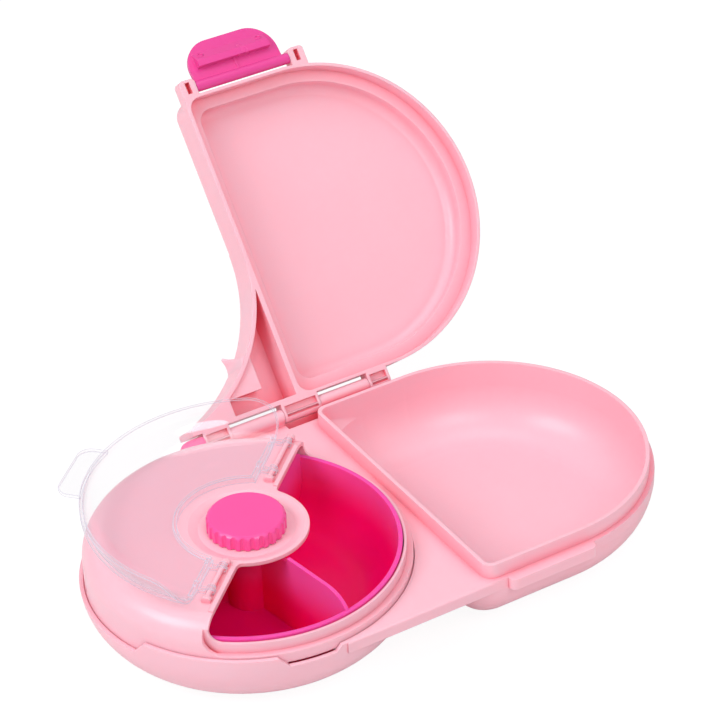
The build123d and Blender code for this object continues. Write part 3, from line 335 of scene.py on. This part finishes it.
# Places along the wall, and the share of the reach there
NUB_SHARES = ((-0.0010, 0.0), (-0.0009, 0.75), (-0.0006, 0.97), (0.0000, 1.0), (0.0007, 0.9), (0.0014, 0.7),
              (0.0024, 0.46), (0.0036, 0.27), (0.0050, 0.12), (0.0068, 0.0))


def turned(pivot, angle):
    """Turn about an axis along X through pivot, by the right-hand rule."""
    return Matrix.Translation(pivot) @ Matrix.Rotation(angle, 4, "X") @ Matrix.Translation(-pivot)


OPEN_LID = turned(HINGE, -HINGE_OPEN)
OPEN_LATCH = OPEN_LID @ turned(LATCH_AXIS, -LATCH_REST)


def piece(name, bm, place, mat, body):
    """Finished mesh as a named piece that rides on a body."""
    bm.transform(place)
    bmesh.ops.recalc_face_normals(bm, faces=bm.faces)
    mesh = bpy.data.meshes.new(name)
    bm.to_mesh(mesh)
    bm.free()
    for face in mesh.polygons:
        face.use_smooth = True
    mesh.materials.append(mat)
    obj = bpy.data.objects.new(name, mesh)
    bpy.context.scene.collection.objects.link(obj)
    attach(obj, body)
    return obj


def ring_mesh(radius, thick, height, around=40, across=10):
    """Low rounded ring lying in XY, its lower half sunk below Z 0."""
    bm = bmesh.new()
    rows = []
    for i in range(around):
        a = 2 * math.pi * i / around
        row = []
        for j in range(across):
            b = 2 * math.pi * j / across
            r = radius + thick / 2 * math.cos(b)
            row.append(bm.verts.new((r * math.cos(a), r * math.sin(a), height * math.sin(b))))
        rows.append(row)
    for i in range(around):
        for j in range(across):
            k, m = (i + 1) % around, (j + 1) % across
            bm.faces.new((rows[i][j], rows[k][j], rows[k][m], rows[i][m]))
    return bm


def ejector_rings():
    """Two ejector marks on the sloping face of the latch's hook."""
    slope = HOOK_PEAK - HOOK_FOOT
    tilt = Matrix.Rotation(math.atan2(slope.z, slope.y) + math.pi, 4, "X")
    for side, x in (("left", 0.0880), ("right", 0.1176)):
        spot = Matrix.Translation(HOOK_FOOT.lerp(HOOK_PEAK, RING_SHARE) + Vector((x, 0, 0))) @ tilt
        piece("latch_ring_" + side, ring_mesh(RING_R, RING_T, RING_H), OPEN_LATCH @ spot, LATCH, "latch")


def arm_nub():
    """Tab on the lid's arm that reaches over the closed cover: one sharp side, one that blends into the wall."""
    bm = bmesh.new()
    rows = []
    root_r = NUB_WALL_R + NUB_SUNK
    for z, reach in NUB_LEVELS:
        row = []
        for along, share in NUB_SHARES:
            radius = NUB_WALL_R - reach * share + NUB_SUNK * (1 - share) ** 6
            turn = along / NUB_WALL_R
            row.append(bm.verts.new((radius * math.cos(turn), radius * math.sin(turn), z)))
        for along in (NUB_SHARES[-1][0], NUB_SHARES[0][0]):
            turn = along / NUB_WALL_R
            row.append(bm.verts.new((root_r * math.cos(turn), root_r * math.sin(turn), z)))
        rows.append(row)
    count = len(rows[0])
    for low, high in zip(rows, rows[1:]):
        for i in range(count):
            k = (i + 1) % count
            bm.faces.new((low[i], low[k], high[k], high[i]))
    bm.faces.new(rows[0])
    bm.faces.new(rows[-1])
    bmesh.ops.remove_doubles(bm, verts=bm.verts, dist=1e-6)
    obj = piece("arm_nub", bm, OPEN_LID @ Matrix.Rotation(NUB_ANGLE, 4, "Z"), SHELL, "lid")
    soft = obj.modifiers.new("soft", "BEVEL")
    soft.width = NUB_EDGE
    soft.segments = 2
    soft.limit_method = "ANGLE"


ejector_rings()
arm_nub()


# Floor, backdrop and light

FLOOR_R = 6.0
FLOOR_PLACE = (0.1, 0.0, -0.0002)
FLOOR_COLOR = (0.82, 0.82, 0.82, 1)
# What the eye sees of the floor: a faint share of the light and shadow, and a plain white
FLOOR_SHADE = (0.14, 0.14, 0.14, 1)
FLOOR_GLOW = 0.92
SKY_LIGHT = 0.44
SKY_SEEN = 1.0
# Name, place, target, size and watts
LAMPS = (
    ("key", (-1.0, 0.05, 1.05), (0.08, 0.02, 0.05), 0.8, 10.5),
    ("front", (0.1, -1.0, 1.2), (0.08, 0.05, 0.1), 0.8, 7.2),
    ("top", (0.25, 0.15, 1.45), (0.08, 0.02, 0.03), 0.8, 3.4),
)


def looking(tree):
    """Socket that is 1 for what the camera sees, straight or through clear plastic."""
    path = tree.nodes.new("ShaderNodeLightPath")
    either = tree.nodes.new("ShaderNodeMath")
    either.operation = "MAXIMUM"
    tree.links.new(path.outputs["Is Camera Ray"], either.inputs[0])
    tree.links.new(path.outputs["Is Transmission Ray"], either.inputs[1])
    return either.outputs[0]


def stage_floor():
    """Large plain floor that looks white but keeps the object's shadow."""
    mesh = bpy.data.meshes.new("floor")
    bm = bmesh.new()
    bmesh.ops.create_circle(bm, cap_ends=True, radius=FLOOR_R, segments=96)
    bm.to_mesh(mesh)
    bm.free()
    obj = bpy.data.objects.new("floor", mesh)
    obj.location = FLOOR_PLACE
    bpy.context.scene.collection.objects.link(obj)
    mat, tree, out = surface("floor")
    plain = tree.nodes.new("ShaderNodeBsdfDiffuse")
    plain.inputs["Color"].default_value = FLOOR_COLOR
    shade = tree.nodes.new("ShaderNodeBsdfDiffuse")
    shade.inputs["Color"].default_value = FLOOR_SHADE
    glow = tree.nodes.new("ShaderNodeEmission")
    glow.inputs["Color"].default_value = WHITE
    glow.inputs["Strength"].default_value = FLOOR_GLOW
    both = tree.nodes.new("ShaderNodeAddShader")
    tree.links.new(shade.outputs[0], both.inputs[0])
    tree.links.new(glow.outputs[0], both.inputs[1])
    mix = tree.nodes.new("ShaderNodeMixShader")
    tree.links.new(looking(tree), mix.inputs["Fac"])
    tree.links.new(plain.outputs[0], mix.inputs[1])
    tree.links.new(both.outputs[0], mix.inputs[2])
    tree.links.new(mix.outputs[0], out.inputs["Surface"])
    mesh.materials.append(mat)


def sky():
    """White backdrop for the eye, softer as a source of light."""
    world = bpy.data.worlds.new("sky")
    bpy.context.scene.world = world
    world.use_nodes = True
    tree = world.node_tree
    tree.nodes.clear()
    out = tree.nodes.new("ShaderNodeOutputWorld")
    back = tree.nodes.new("ShaderNodeBackground")
    back.inputs["Color"].default_value = WHITE
    back.inputs["Strength"].default_value = SKY_SEEN
    light = tree.nodes.new("ShaderNodeBackground")
    light.inputs["Color"].default_value = WHITE
    light.inputs["Strength"].default_value = SKY_LIGHT
    mix = tree.nodes.new("ShaderNodeMixShader")
    tree.links.new(looking(tree), mix.inputs["Fac"])
    tree.links.new(light.outputs[0], mix.inputs[1])
    tree.links.new(back.outputs[0], mix.inputs[2])
    tree.links.new(mix.outputs[0], out.inputs["Surface"])


def area(name, place, target, size, watts):
    """Round area lamp at place, pointed at target."""
    lamp = bpy.data.lights.new(name, "AREA")
    lamp.shape = "DISK"
    lamp.size = size
    lamp.energy = watts
    obj = bpy.data.objects.new(name, lamp)
    obj.location = place
    obj.rotation_euler = (Vector(target) - Vector(place)).to_track_quat("-Z", "Y").to_euler()
    bpy.context.scene.collection.objects.link(obj)


stage_floor()
sky()
for lamp_row in LAMPS:
    area(*lamp_row)


# Camera, at the photograph's angle

AZIMUTH = math.radians(-30.483)
ELEVATION = math.radians(33.676)
ROLL = math.radians(-2.128)
AIM = Vector((0.115356, 0.099229, 0.027))
DISTANCE = 1.33983
# Focal length in the photograph's own pixels, its width, and the sensor's width in millimetres
FOCAL_PX = 2949.645
PHOTO_PX = 720.0
SENSOR_MM = 36.0


def camera():
    """Camera solved from the photograph."""
    az, el, roll = AZIMUTH, ELEVATION, ROLL
    back = Vector((math.sin(az) * math.cos(el), -math.cos(az) * math.cos(el), math.sin(el)))
    right = Vector((math.cos(az), math.sin(az), 0.0))
    up = back.cross(right)
    right, up = right * math.cos(roll) + up * math.sin(roll), up * math.cos(roll) - right * math.sin(roll)
    cam = bpy.data.cameras.new("camera")
    cam.sensor_width = SENSOR_MM
    cam.lens = SENSOR_MM * FOCAL_PX / PHOTO_PX
    cam.clip_end = 20.0
    obj = bpy.data.objects.new("camera", cam)
    turn = Matrix((right, up, back)).transposed().to_4x4()
    obj.matrix_world = Matrix.Translation(AIM + back * DISTANCE) @ turn
    bpy.context.scene.collection.objects.link(obj)
    bpy.context.scene.camera = obj


camera()
bpy.context.scene.view_settings.view_transform = "Standard"
